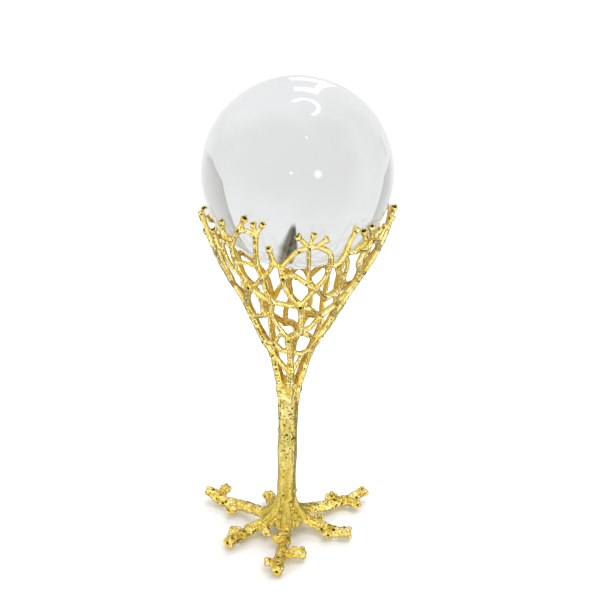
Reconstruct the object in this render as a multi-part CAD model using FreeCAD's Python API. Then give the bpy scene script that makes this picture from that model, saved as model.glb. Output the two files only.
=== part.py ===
import FreeCAD, Part
import math
import os

# Crystal ball on a cast coral stand.  Millimetres, +Z up.  The origin is on the floor,
# straight under the centre of the ball.  The sizes that drive everything come first.

BALL_RADIUS = 50.0
BALL_HEIGHT = 213.6        # centre of the ball above the floor
STEM_X = -2.0              # the stem stands a little left of the ball's centre
CUP_FOOT_Z = 87.0          # the basket's own axis leaves the stem axis here

# Weight of a coral branch -> its radius.
BRANCH_RADIUS = {"heavy": 1.9, "medium": 1.45, "light": 1.2}
NODE_SWELL = 1.12          # a junction is a ball a little fatter than its branches
KNOB_SWELL = 1.35          # a free tip ends in a knob
CUP_RADIUS = 0.75          # hollow in the end of a knob

# Outer radius of the basket at each height above the floor.
BASKET_PROFILE = [
    (80, 5.35), (90, 6.2), (97, 8.2), (104, 10.0), (112, 12.4), (120, 16.8), (130, 21.9),
    (140, 26.6), (150, 32.2), (160, 37.6), (170, 43.0), (180, 47.5), (190, 50.7), (200, 52.8),
    (204, 53.5), (215, 54.5),
]
BRANCH_INSET = 1.4         # centre line of a branch inside the outer skin

# Stem, collar and hub.
PAD_THICKNESS = 1.2
PAD_RADIUS = 1.9
HUB_BOTTOM = 3.6
HUB_SHOULDER = 10.6
STEM_BOTTOM = 15.5
STEM_TOP = 84.0
COLLAR_TOP = 94.0
HUB_RADIUS = 7.4
HUB_TOP_RADIUS = 5.4
STEM_RADII = [(STEM_BOTTOM, 5.0), (48.0, 5.2), (STEM_TOP, 5.6)]
COLLAR_TOP_RADIUS = 7.9
SPIGOT_RADIUS = 3.9
SPIGOT_LENGTH = 1.5
RECESS_RADIUS = 4.0
STEM_BORE = 2.8

# M5 tie rod with its washers and nut.
ROD_RADIUS = 2.5
ROD_BOTTOM = 3.0
ROD_TOP = 91.0
ROD_HOLE_TOP = 91.5
COUNTERBORE_RADIUS = 5.3
COUNTERBORE_TOP = 10.7
WASHER_RADIUS = 5.0
WASHER_THICKNESS = 1.0
WASHER_BORE = 2.65
SPRING_WASHER_RADIUS = 4.6
SPRING_WASHER_THICKNESS = 1.2
SPRING_WASHER_GAP = 0.8
NUT_FLATS = 8.0
NUT_HEIGHT = 4.7

# Clear bumpers between the basket's rim and the ball.
BUMPER_RADIUS = 1.5
BUMPERED_JUNCTIONS = ["l13", "r20", "s21", "b26", "k23", "k42"]

# Coral junctions: name -> (azimuth round the basket in degrees, height above the floor).
JUNCTIONS = {
    # front spray
    "f0": (-84, 92), "f1": (-85, 101), "f2": (-88, 110), "f3": (-91, 119), "f4": (-93, 127),
    "f5": (-78, 132), "f6": (-79, 143), "f7": (-83, 152), "f8": (-90, 158), "f9": (-95, 165),
    "f10": (-97, 173), "f11": (-98, 180), "f12": (-103, 183), "f13": (-105, 190), "f14": (-93, 186),
    "f15": (-88, 191), "f16": (-82, 193), "f17": (-88, 199), "f18": (-80, 200), "f19": (-77, 194),
    "f20": (-73, 197), "f21": (-69, 189), "f22": (-67, 182), "f23": (-68, 172), "f24": (-73, 165),
    "f25": (-81, 182), "f26": (-80, 173), "f27": (-90, 175), "f28": (-82, 170), "f29": (-96, 153),
    "f30": (-108, 154), "f31": (-112, 146), "f32": (-109, 137), "f33": (-102, 131), "f34": (-78, 158),
    "f35": (-74, 150), "f36": (-65, 146), "f37": (-64, 135), "f38": (-76, 116), "f39": (-61, 115),
    "f40": (-66, 108),
    # front left spray
    "l0": (-152, 92), "l1": (-150, 102), "l2": (-145, 112), "l3": (-153, 119), "l4": (-151, 127),
    "l5": (-150, 136), "l6": (-146, 145), "l7": (-136, 153), "l8": (-127, 161), "l9": (-130, 168),
    "l10": (-132, 176), "l11": (-132, 184), "l12": (-129, 191), "l13": (-124, 198), "l14": (-120, 205),
    "l15": (-118, 199), "l16": (-114, 203), "l17": (-109, 204), "l18": (-113, 197), "l19": (-114, 186),
    "l20": (-114, 178), "l21": (-112, 171), "l22": (-119, 165), "l23": (-106, 177), "l24": (-112, 162),
    "l25": (-118, 157), "l26": (-121, 149), "l27": (-125, 141), "l28": (-111, 127), "l29": (-122, 121),
    "l30": (-107, 117), "l31": (-118, 107), "l32": (-137, 198), "l33": (-136, 191), "l34": (-125, 178),
    "l35": (-139, 172), "l36": (-141, 182),
    # front right spray
    "r0": (-18, 92), "r1": (-18, 100), "r2": (-24, 108), "r3": (-33, 116), "r4": (-45, 124),
    "r5": (-32, 130), "r6": (-29, 138), "r7": (-42, 149), "r8": (-50, 158), "r9": (-51, 164),
    "r10": (-57, 172), "r11": (-62, 180), "r12": (-58, 187), "r13": (-57, 193), "r14": (-54, 200),
    "r15": (-47, 197), "r16": (-44, 191), "r17": (-51, 187), "r18": (-41, 186), "r19": (-38, 190),
    "r20": (-41, 198), "r21": (-32, 194), "r22": (-43, 177), "r23": (-36, 170), "r24": (-33, 160),
    "r25": (-52, 171), "r26": (-54, 180), "r27": (-62, 158), "r28": (-55, 143), "r29": (-63, 129),
    "r30": (-26, 147), "r31": (-23, 156), "r32": (-22, 165), "r33": (-21, 171), "r34": (-20, 179),
    "r35": (-16, 187), "r36": (-12, 194), "r37": (-28, 186), "r38": (-24, 193),
    # back right spray
    "s0": (32, 92), "s1": (26, 101), "s2": (16, 110), "s3": (8, 119), "s4": (-4, 127), "s5": (-6, 137),
    "s6": (24, 121), "s7": (32, 127), "s8": (43, 134), "s9": (28, 141), "s10": (14, 147), "s11": (0, 152),
    "s12": (2, 162), "s13": (14, 167), "s14": (-3, 172), "s15": (-5, 179), "s16": (2, 187),
    "s17": (-2, 196), "s18": (9, 192), "s19": (18, 176), "s20": (22, 186), "s21": (19, 196),
    "s22": (28, 194), "s23": (30, 168), "s24": (38, 160), "s25": (36, 150), "s26": (47, 144),
    "s27": (33, 177), "s28": (41, 185), "s29": (38, 199), "s30": (46, 196), "s31": (-11, 145),
    "s32": (-10, 155), "s33": (-10, 164), "s34": (-1, 108), "s35": (-13, 118),
    # back spray
    "b0": (88, 92), "b1": (86, 101), "b2": (80, 110), "b3": (75, 117), "b4": (90, 120), "b5": (103, 120),
    "b6": (99, 127), "b7": (92, 133), "b8": (94, 141), "b9": (84, 148), "b10": (72, 143),
    "b11": (64, 134), "b12": (62, 125), "b13": (56, 151), "b14": (62, 161), "b15": (73, 158),
    "b16": (88, 158), "b17": (97, 166), "b18": (86, 173), "b19": (74, 170), "b20": (66, 178),
    "b21": (58, 172), "b22": (60, 187), "b23": (56, 197), "b24": (65, 200), "b25": (76, 186),
    "b26": (79, 197), "b27": (88, 183), "b28": (91, 193), "b29": (88, 202), "b30": (97, 201),
    "b31": (98, 178), "b32": (104, 186), "b33": (102, 157),
    # back left spray
    "k0": (148, 92), "k1": (151, 102), "k2": (145, 111), "k3": (136, 118), "k4": (128, 125),
    "k5": (137, 132), "k6": (144, 140), "k7": (154, 148), "k8": (151, 158), "k9": (141, 157),
    "k10": (130, 150), "k11": (121, 142), "k12": (118, 133), "k13": (107, 137), "k14": (118, 160),
    "k15": (112, 168), "k16": (122, 176), "k17": (116, 186), "k18": (111, 196), "k19": (120, 199),
    "k20": (134, 172), "k21": (140, 181), "k22": (134, 191), "k23": (131, 202), "k24": (142, 196),
    "k25": (155, 168), "k26": (158, 178), "k27": (153, 188), "k28": (155, 200), "k29": (166, 180),
    "k30": (170, 187), "k31": (170, 141), "k32": (-176, 133), "k33": (172, 124), "k34": (168, 114),
    "k35": (-170, 151), "k36": (-168, 161), "k37": (-160, 167), "k38": (170, 171), "k39": (-158, 173),
    "k40": (-156, 180), "k41": (-160, 188), "k42": (-164, 194), "k43": (-147, 181), "k44": (-147, 190),
    "k45": (176, 177), "k46": (-176, 187), "k47": (-158, 154), "k48": (-150, 162), "k49": (-150, 172),
    "k50": (-165, 110), "k51": (-169, 121), "k52": (-165, 132), "k53": (-166, 142), "k54": (-173, 171),
    "k55": (-169, 182),
}

# Branches of each casting: weight and the junctions that the branch runs through.
# A junction belongs to the casting that carries its letter; a branch of another
# casting that runs to it is brazed against it.
SPRAY_LETTERS = {
    "spray_front": "f", "spray_front_left": "l", "spray_front_right": "r",
    "spray_back_right": "s", "spray_back": "b", "spray_back_left": "k",
}
BRANCHES = {
    "spray_front": [
        ("heavy", "f0 f1 f2 f3 f4 f5"), ("heavy", "f5 f6 f7 f8 f9 f10 f11"), ("medium", "f11 f12 f13"),
        ("medium", "f11 f14 f15 f16"), ("light", "f16 f17"), ("light", "f16 f18"),
        ("medium", "f16 f19 f20"), ("medium", "f19 f21 f22 f23 f24"), ("light", "f16 f25 f26 f24"),
        ("medium", "f10 f27 f28 f24"), ("medium", "f24 f34 f7"), ("medium", "f7 f29 f30"),
        ("medium", "f30 f31 f32 f33 f4"), ("medium", "f7 f35 f36"), ("medium", "f5 f37"),
        ("light", "f3 f38 f39"), ("light", "f39 f40 f1"),
    ],
    "spray_front_left": [
        ("heavy", "l0 l1 l2 l3 l4 l5 l6 l7 l8"), ("medium", "l8 l9 l10 l11 l12 l13 l14"),
        ("medium", "l13 l15 l18"), ("light", "l18 l16"), ("light", "l18 l17"),
        ("medium", "l18 l19 l20 l21"), ("medium", "l8 l22 l21"), ("medium", "l21 l23 f12"),
        ("medium", "l21 l24 f30"), ("medium", "l8 l25 f30"), ("light", "l25 l26 l27"),
        ("light", "l5 l27 f31"), ("light", "f33 l28 l29"), ("medium", "l3 l29 l30 f3"),
        ("medium", "l2 l31 f1"), ("medium", "l12 l33 l32"), ("light", "l10 l34 l20"),
        ("light", "l9 l35 l36 l33"),
    ],
    "spray_front_right": [
        ("heavy", "r0 r1 r2 r3 r4 r5 r6"), ("medium", "r6 r7 r8 r9 r10 r11"),
        ("medium", "r11 r12 r13 r14"), ("medium", "r17 r16 r15"), ("medium", "r12 r17 r18 r19 r20"),
        ("light", "r19 r21"), ("medium", "r18 r22 r23 r24 r7"), ("light", "r12 r26 r25 r9"),
        ("medium", "f22 r11"), ("medium", "f24 r27 r8"), ("medium", "r7 r28 f37"), ("light", "r28 f36"),
        ("medium", "f5 r29 r4"), ("light", "f39 r3"), ("medium", "r6 r30 r31 r32 r33 r34 r35 r36"),
        ("medium", "r19 r37 r34"), ("light", "r32 r23"), ("light", "r37 r38"),
    ],
    "spray_back_right": [
        ("heavy", "s0 s1 s2 s3 s4 s5 r30"), ("medium", "s2 s6 s7 s8 s26"),
        ("medium", "s8 s9 s10 s11 r31"), ("medium", "s11 s12 s13 s19 s20 s21"), ("light", "s20 s22"),
        ("medium", "s12 s14 s15 s16 s17"), ("light", "s16 s18"), ("medium", "s13 s23 s24 s25 s9"),
        ("medium", "s23 s27 s28 s29"), ("light", "s28 s30"), ("light", "s14 r33"), ("light", "s15 r35"),
        ("light", "s19 s27"), ("light", "s10 s25"), ("light", "s3 s6"), ("light", "s5 s31 s32 s33 s14"),
        ("light", "s32 r31"), ("light", "r1 s34 s35 s4"),
    ],
    "spray_back": [
        ("heavy", "b0 b1 b2 b3 b4 b5"), ("medium", "b5 b6 b7 b8 b9 b10 b11 b12 b3"),
        ("medium", "s26 b13 b10"), ("medium", "b13 b14 b15 b16 b17 b31 b32"), ("medium", "b9 b16"),
        ("medium", "b15 b19 b20 b22 b23"), ("light", "b22 b24"), ("medium", "b14 b21 s23"),
        ("light", "b19 b18 b27 b25 b26"), ("medium", "b27 b28 b29"), ("light", "b28 b30"),
        ("light", "b17 b18"), ("light", "b21 b20"), ("medium", "b12 s7"), ("light", "b8 b33 b17"),
    ],
    "spray_back_left": [
        ("heavy", "k0 k1 k2 k3 k4 k5 k6 k7 k8"), ("medium", "k4 b5"),
        ("medium", "k8 k9 k10 k11 k12 k13 b8"), ("medium", "k12 k4"),
        ("medium", "k10 k14 k15 k16 k17 k18"), ("light", "k17 k19"), ("light", "k14 b33"),
        ("light", "k15 b31"), ("medium", "k9 k20 k21 k22 k23"), ("light", "k21 k24"),
        ("light", "k16 k20"), ("medium", "k8 k25 k26 k27 k28"), ("light", "k26 k29 k30"),
        ("medium", "k7 k31 k32 k33 k34 k1"), ("medium", "k31 k35 k36 k37 k39 k40 k41 k42"),
        ("medium", "k36 k38 k25"), ("medium", "k39 k43 k44"), ("light", "k38 k45 k46"),
        ("light", "l6 k47 k37"), ("light", "l4 k32"), ("light", "k43 l36"), ("light", "k47 k48 k49 k43"),
        ("light", "l1 k50 k51 k52 k53 k35"), ("light", "k52 k32"), ("light", "k50 k34"),
        ("light", "k36 k54 k55"),
    ],
}

# Root branches: trunk points and side stubs, measured from the stem axis: (x, y, z, radius).
# The point given as "foot" is the one that stands on a pad.
ROOTS = {
    "root_back_left": {
        "trunk": [(-6.5, 2.2, 9.2, 2.8), (-11.6, 3.8, 8.0, 3.2), (-20.0, 12.0, 6.0, 3.2),
                  (-26.0, 17.0, 4.8, 3.2),
                  (-33.0, 21.0, 4.0, 3.2), (-38.6, 24.6, 4.6, 3.0), (-42.7, 28.6, 6.0, 2.6)],
        "stubs": [[(-38.6, 24.6, 4.6, 2.6), (-34.4, 32.4, 6.0, 2.4)],
                  [(-26.0, 17.0, 4.8, 2.4), (-30.6, 12.8, 4.6, 2.3)]],
        "foot": (-33.0, 21.0),
    },
    "root_front_left": {
        "trunk": [(-6.0, -3.9, 9.0, 2.8), (-11.4, -5.4, 6.8, 3.2), (-16.3, -6.4, 5.2, 3.2),
                  (-22.0, -12.0, 4.4, 3.2), (-27.0, -17.6, 4.0, 3.2), (-30.0, -22.0, 4.4, 2.8)],
        "stubs": [[(-22.0, -12.0, 4.4, 2.6), (-28.3, -11.7, 5.0, 2.4)],
                  [(-11.4, -5.4, 6.8, 2.4), (-10.7, -10.6, 5.0, 2.3)]],
        "foot": (-27.0, -17.6),
    },
    "root_front": {
        "trunk": [(0.6, -6.0, 9.0, 3.0), (0.5, -10.5, 7.2, 3.4), (0.3, -15.5, 5.8, 3.2),
                  (-0.6, -24.4, 4.7, 3.2),
                  (-2.1, -34.0, 4.4, 3.2), (-3.5, -43.0, 4.0, 3.1), (-4.0, -49.2, 4.2, 2.6)],
        "stubs": [[(0.3, -15.5, 5.8, 2.4), (-4.6, -18.6, 5.2, 2.3)],
                  [(-2.1, -34.0, 4.4, 2.6), (3.4, -33.6, 4.6, 2.6), (8.2, -32.5, 4.6, 2.8)],
                  [(-3.5, -43.0, 4.0, 2.4), (-8.6, -42.4, 4.6, 2.3)]],
        "foot": (-3.5, -43.0),
    },
    "root_right": {
        "trunk": [(6.5, 0.2, 9.0, 2.8), (10.8, 0.2, 7.0, 3.2), (16.2, -2.2, 5.4, 3.2),
                  (21.8, -4.8, 4.6, 3.1), (27.3, -8.6, 4.0, 3.1), (33.3, -9.6, 4.4, 2.8)],
        "stubs": [[(16.2, -2.2, 5.4, 2.4), (17.8, 3.4, 5.8, 2.3)],
                  [(21.8, -4.8, 4.6, 2.4), (23.0, -10.8, 4.4, 2.3)]],
        "foot": (27.3, -8.6),
    },
    "root_back_right": {
        "trunk": [(4.4, 5.6, 9.2, 2.8), (11.7, 11.4, 6.9, 3.2), (17.3, 15.3, 5.4, 3.2),
                  (22.9, 18.6, 4.8, 3.2),
                  (28.6, 23.3, 4.5, 3.2), (34.3, 26.6, 4.0, 3.1), (39.4, 30.5, 4.8, 2.8),
                  (42.7, 31.8, 6.2, 2.6)],
        "stubs": [[(22.9, 18.6, 4.8, 2.6), (25.7, 26.2, 6.0, 2.4)],
                  [(34.3, 26.6, 4.0, 2.4), (38.7, 21.9, 4.4, 2.3)]],
        "foot": (34.3, 26.6),
    },
    "root_back": {
        "trunk": [(-2.0, 6.4, 9.0, 2.7), (-4.4, 13.0, 6.6, 3.1), (-8.0, 21.5, 4.0, 3.1),
                  (-10.0, 27.0, 5.0, 2.6)],
        "stubs": [],
        "foot": (-8.0, 21.5),
    },
}
FOOT_KNOB_RADIUS = 3.4
FOOT_KNOB_Z = 4.0

UP = FreeCAD.Vector(0, 0, 1)
BALL_CENTRE = FreeCAD.Vector(0, 0, BALL_HEIGHT)
CUP_FOOT = FreeCAD.Vector(STEM_X, 0, CUP_FOOT_Z)
CUP_AXIS = (BALL_CENTRE - CUP_FOOT).normalize()
CUP_SIDE = FreeCAD.Vector(CUP_AXIS.z, 0, -CUP_AXIS.x)


def on_stem(z):
    """Point of the stem axis at height z."""
    return FreeCAD.Vector(STEM_X, 0, z)


def basket_radius(height):
    """Outer radius of the basket at a height, straight lines between the profile's points."""
    for (z0, r0), (z1, r1) in zip(BASKET_PROFILE, BASKET_PROFILE[1:]):
        if height <= z1:
            return r0 + (r1 - r0) * (height - z0) / (z1 - z0)
    return BASKET_PROFILE[-1][1]


def junction_point(name):
    """Position of a coral junction on the centre surface of the basket."""
    azimuth, height = JUNCTIONS[name]
    angle = math.radians(azimuth)
    radius = basket_radius(height) - BRANCH_INSET
    out = CUP_SIDE * math.cos(angle) + FreeCAD.Vector(0, math.sin(angle), 0)
    return CUP_FOOT + CUP_AXIS * (height - CUP_FOOT_Z) + out * radius


def tube(start, end, radius_start, radius_end=None):
    """Round bar between two points, tapered when two radii are given."""
    along = end - start
    if radius_end is None or abs(radius_end - radius_start) < 1e-6:
        return Part.makeCylinder(radius_start, along.Length, start, along)
    return Part.makeCone(radius_start, radius_end, along.Length, start, along)


def ball(centre, radius, pole=UP):
    """Sphere whose pole points along a direction, so a bar on that axis cuts it on a clean circle."""
    return Part.makeSphere(radius, centre, pole)


def ring(z0, z1, radius, bore):
    """Flat ring round the stem axis."""
    height = z1 - z0
    return Part.makeCylinder(radius, height, on_stem(z0)).cut(Part.makeCylinder(bore, height, on_stem(z0)))


def turned(outline):
    """Solid turned round the stem axis from (radius, z) points."""
    points = [FreeCAD.Vector(STEM_X + radius, 0, z) for radius, z in outline]
    face = Part.Face(Part.makePolygon(points + points[:1]))
    return face.revolve(on_stem(0), UP, 360)


def fuse(shapes):
    """One solid from overlapping solids."""
    joined = shapes[0].multiFuse(shapes[1:])
    return largest(joined)


def largest(shape):
    """The biggest solid of a shape; slivers left by a cut are dropped."""
    return max(shape.Solids, key=lambda solid: solid.Volume)


def branch_segments():
    """Every straight piece of coral: (spray, radius, first junction, last junction)."""
    pieces = []
    for spray, branches in BRANCHES.items():
        for weight, path in branches:
            names = path.split()
            for first, last in zip(names, names[1:]):
                pieces.append((spray, BRANCH_RADIUS[weight], first, last))
    return pieces


SEGMENTS = branch_segments()


def owner(junction):
    """The spray that a junction belongs to."""
    for spray, letter in SPRAY_LETTERS.items():
        if junction[0] == letter:
            return spray
    raise ValueError(junction)


def touching(junction, spray=None):
    """Pieces of coral that end at a junction, of one spray or of all."""
    return [piece for piece in SEGMENTS if junction in piece[2:] and spray in (None, piece[0])]


def is_tip(junction):
    return len(touching(junction)) == 1 and JUNCTIONS[junction][1] > COLLAR_TOP


def node_radius(junction):
    """Radius of the round node at a junction."""
    thickest = max(piece[1] for piece in touching(junction))
    return thickest * (KNOB_SWELL if is_tip(junction) else NODE_SWELL)


def tip_direction(junction):
    """Direction in which a free tip points."""
    first, last = touching(junction)[0][2:]
    inner = first if last == junction else last
    return (junction_point(junction) - junction_point(inner)).normalize()


def coral_node(junction):
    thickest = max(touching(junction), key=lambda piece: piece[1])
    pole = junction_point(thickest[3]) - junction_point(thickest[2])
    return ball(junction_point(junction), node_radius(junction), pole)


def coral_bar(piece):
    return tube(junction_point(piece[2]), junction_point(piece[3]), piece[1])


def brazed_bar(piece):
    """Bar of coral whose ends are trimmed by the nodes of other sprays that it is brazed to."""
    bar = coral_bar(piece)
    for junction in piece[2:]:
        if owner(junction) == piece[0]:
            continue
        neighbours = [coral_node(junction)]
        neighbours += [coral_bar(other) for other in touching(junction, owner(junction))]
        bar = largest(bar.cut(neighbours))
    return bar


def coral_spray(spray):
    """One casting of the basket, from its stalk on the collar to its knobs."""
    ends = {name for piece in SEGMENTS if piece[0] == spray for name in piece[2:]}
    own = sorted(name for name in ends if owner(name) == spray)
    parts = [coral_node(name) for name in own]
    parts += [brazed_bar(piece) for piece in SEGMENTS if piece[0] == spray]
    body = fuse(parts)
    cups = []
    for name in own:
        if is_tip(name):
            reach = node_radius(name) + 0.15 * CUP_RADIUS
            cups.append(ball(junction_point(name) + tip_direction(name) * reach, CUP_RADIUS))
    below = Part.makeBox(80, 80, 40, FreeCAD.Vector(STEM_X - 40, -40, COLLAR_TOP - 40))
    return largest(body.cut(cups + [below]))


def root_branch(root):
    """One root from the hub to its tip, flat where it stands on its pad."""
    axis = on_stem(0)
    lines = [root["trunk"]] + root["stubs"]
    parts = []
    for line in lines:
        points = [FreeCAD.Vector(x, y, z) + axis for x, y, z, radius in line]
        radii = [radius for x, y, z, radius in line]
        for index in range(len(points) - 1):
            along = points[index + 1] - points[index]
            parts.append(tube(points[index], points[index + 1], radii[index], radii[index + 1]))
            parts.append(ball(points[index + 1], radii[index + 1] * NODE_SWELL, along))
    foot_x, foot_y = root["foot"]
    parts.append(ball(FreeCAD.Vector(foot_x, foot_y, FOOT_KNOB_Z) + axis, FOOT_KNOB_RADIUS))
    body = fuse(parts)
    below = Part.makeBox(140, 140, 10, FreeCAD.Vector(-70, -70, PAD_THICKNESS - 10))
    hub_core = Part.makeCylinder(HUB_RADIUS, 20, on_stem(0))
    return largest(body.cut([below, hub_core]))


def hub():
    """Boss that carries the six roots, bored for the rod and its nut."""
    outline = [(0, HUB_BOTTOM), (HUB_RADIUS, HUB_BOTTOM), (HUB_RADIUS, HUB_SHOULDER),
               (HUB_TOP_RADIUS, STEM_BOTTOM), (0, STEM_BOTTOM)]
    body = turned(outline)
    rod_bore = Part.makeCylinder(STEM_BORE, 20, on_stem(0))
    counterbore = Part.makeCylinder(COUNTERBORE_RADIUS, COUNTERBORE_TOP, on_stem(0))
    recess = Part.makeCylinder(RECESS_RADIUS, SPIGOT_LENGTH, on_stem(STEM_BOTTOM - SPIGOT_LENGTH))
    return body.cut([rod_bore, counterbore, recess])


def stem():
    """Hollow stem with a locating spigot at each end."""
    outline = [(STEM_BORE, STEM_BOTTOM - SPIGOT_LENGTH), (SPIGOT_RADIUS, STEM_BOTTOM - SPIGOT_LENGTH),
               (SPIGOT_RADIUS, STEM_BOTTOM)]
    outline += [(radius, z) for z, radius in STEM_RADII]
    outline += [(SPIGOT_RADIUS, STEM_TOP), (SPIGOT_RADIUS, STEM_TOP + SPIGOT_LENGTH),
                (STEM_BORE, STEM_TOP + SPIGOT_LENGTH)]
    return turned(outline)


def collar():
    """Flared cap of the stem; the six stalks stand on its top face."""
    outline = [(0, STEM_TOP), (STEM_RADII[-1][1], STEM_TOP), (6.3, 89.0), (COLLAR_TOP_RADIUS, COLLAR_TOP),
               (3.4, COLLAR_TOP), (1.0, COLLAR_TOP - 1.3), (0, COLLAR_TOP - 1.3)]
    body = turned(outline)
    rod_hole = Part.makeCylinder(ROD_RADIUS, ROD_HOLE_TOP - STEM_TOP, on_stem(STEM_TOP))
    recess = Part.makeCylinder(RECESS_RADIUS, SPIGOT_LENGTH, on_stem(STEM_TOP))
    return body.cut([rod_hole, recess])


def nut(z_top):
    """Hexagon nut hanging below the height z_top, corners chamfered."""
    corner = NUT_FLATS / math.sqrt(3)
    points = []
    for index in range(7):
        angle = math.radians(60 * index)
        spoke = FreeCAD.Vector(corner * math.cos(angle), corner * math.sin(angle), 0)
        points.append(on_stem(z_top - NUT_HEIGHT) + spoke)
    prism = Part.Face(Part.makePolygon(points)).extrude(UP * NUT_HEIGHT)
    chamfer = 0.35
    rounder = turned([(0, z_top - NUT_HEIGHT), (corner - chamfer, z_top - NUT_HEIGHT),
                      (corner, z_top - NUT_HEIGHT + chamfer), (corner, z_top - chamfer),
                      (corner - chamfer, z_top), (0, z_top)])
    return prism.common(rounder).cut(Part.makeCylinder(ROD_RADIUS, NUT_HEIGHT, on_stem(z_top - NUT_HEIGHT)))


def spring_washer(z_top):
    """Split ring."""
    body = ring(z_top - SPRING_WASHER_THICKNESS, z_top, SPRING_WASHER_RADIUS, WASHER_BORE)
    slot_corner = on_stem(z_top - 2) + FreeCAD.Vector(0, -SPRING_WASHER_GAP / 2, 0)
    return body.cut(Part.makeBox(10, SPRING_WASHER_GAP, 4, slot_corner))


def bumper(junction):
    """Clear dot between a rim junction and the ball, shaped by both."""
    centre = junction_point(junction)
    outwards = (centre - BALL_CENTRE).normalize()
    dot = tube(BALL_CENTRE + outwards * (BALL_RADIUS - 1), centre, BUMPER_RADIUS)
    coral = [coral_node(junction)] + [coral_bar(piece) for piece in touching(junction)]
    return largest(dot.cut([ball(BALL_CENTRE, BALL_RADIUS)] + coral))


def foot_pads():
    """Round pads under the six roots."""
    pads = []
    for root in ROOTS.values():
        foot_x, foot_y = root["foot"]
        base = FreeCAD.Vector(foot_x + STEM_X, foot_y, 0)
        pads.append(Part.makeCylinder(PAD_RADIUS, PAD_THICKNESS, base))
    return Part.makeCompound(pads)


def build():
    """All nodes of the stand, by name."""
    washer_bottom = COUNTERBORE_TOP - WASHER_THICKNESS
    nut_top = washer_bottom - SPRING_WASHER_THICKNESS
    nodes = {
        "crystal_ball": ball(BALL_CENTRE, BALL_RADIUS),
        "basket_collar": collar(),
        "stem": stem(),
        "root_hub": hub(),
        "tie_rod": Part.makeCylinder(ROD_RADIUS, ROD_TOP - ROD_BOTTOM, on_stem(ROD_BOTTOM)),
        "flat_washer": ring(washer_bottom, COUNTERBORE_TOP, WASHER_RADIUS, WASHER_BORE),
        "spring_washer": spring_washer(washer_bottom),
        "rod_nut": nut(nut_top),
        "foot_pads": foot_pads(),
        "seat_bumpers": Part.makeCompound([bumper(name) for name in BUMPERED_JUNCTIONS]),
    }
    for name, root in ROOTS.items():
        nodes[name] = root_branch(root)
    for spray in BRANCHES:
        nodes[spray] = coral_spray(spray)
    return nodes


os.makedirs("parts", exist_ok=True)
for node, shape in build().items():
    if not shape.isValid():
        raise RuntimeError(node + " is not a valid solid")
    shape.exportStep("parts/" + node + ".step")
    box = shape.BoundBox
    print("%-18s solids %d  volume %9.1f  x %7.2f %7.2f  y %7.2f %7.2f  z %7.2f %7.2f" % (
        node, len(shape.Solids), shape.Volume, box.XMin, box.XMax, box.YMin, box.YMax, box.ZMin, box.ZMax))
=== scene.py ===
import bpy
import math
import random
import numpy as np
from mathutils import Matrix, Vector, noise


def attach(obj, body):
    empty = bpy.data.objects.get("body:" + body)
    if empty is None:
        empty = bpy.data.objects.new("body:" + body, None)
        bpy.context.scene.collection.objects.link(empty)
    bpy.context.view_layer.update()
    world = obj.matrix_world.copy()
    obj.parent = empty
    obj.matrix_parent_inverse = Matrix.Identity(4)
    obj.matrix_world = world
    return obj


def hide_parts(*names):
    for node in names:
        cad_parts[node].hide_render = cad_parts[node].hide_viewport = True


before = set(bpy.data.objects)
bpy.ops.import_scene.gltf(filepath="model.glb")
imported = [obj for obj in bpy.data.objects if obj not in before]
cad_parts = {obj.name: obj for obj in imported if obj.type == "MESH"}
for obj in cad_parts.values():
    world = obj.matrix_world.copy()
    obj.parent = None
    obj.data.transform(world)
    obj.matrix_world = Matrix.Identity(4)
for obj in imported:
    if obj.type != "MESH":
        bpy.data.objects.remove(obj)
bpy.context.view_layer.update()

# The look of the crystal ball and its coral stand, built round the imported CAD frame.
# Shapes are worked out in millimetres in the row frame and written to meshes in metres.

MM = 0.001
RANDOM = random.Random(41)

# -------- sizes shared with the CAD

BALL_RADIUS = 50.0
BALL_HEIGHT = 213.6         # centre of the ball above the floor
STEM_X = -2.0               # the stem stands a little left of the ball's centre
CUP_FOOT_Z = 87.0           # the basket's own axis leaves the stem axis here
BRANCH_RADIUS = {"heavy": 1.9, "medium": 1.45, "light": 1.2}
# Outer skin of the basket: height, radius.
BASKET_PROFILE = [
    (80, 5.35), (90, 6.2), (97, 8.2), (104, 10.0), (112, 12.4), (120, 16.8), (130, 21.9),
    (140, 26.6), (150, 32.2), (160, 37.6), (170, 43.0), (180, 47.5), (190, 50.7), (200, 52.8),
    (204, 53.5), (215, 54.5),
]
BRANCH_INSET = 1.4          # centre line of a branch inside the outer skin
STEM_BOTTOM = 15.5
STEM_TOP = 84.0
COLLAR_TOP = 94.0
STEM_RADII = [(STEM_BOTTOM, 5.0), (48.0, 5.2), (STEM_TOP, 5.6)]

# -------- sizes of the visual model

SPRAY_VOXEL = 0.325
ROOT_VOXEL = 0.32
COLLAR_VOXEL = 0.30
SMOOTHING_PASSES = 3
BALL_RINGS = 160
BALL_SIDES = 240
STEM_ROWS = 420
FOOT_HEIGHT = 4.0           # centre of the lump of metal that stands on a foot pad
FOOT_RADIUS = 2.75
JUNCTION_SWELL = 1.12       # a branch is fatter where three or more meet, and thinner between
PLAIN_SWELL = 0.97
WIDE_GAP = 70               # two roots this many degrees apart need more metal between them

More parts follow.
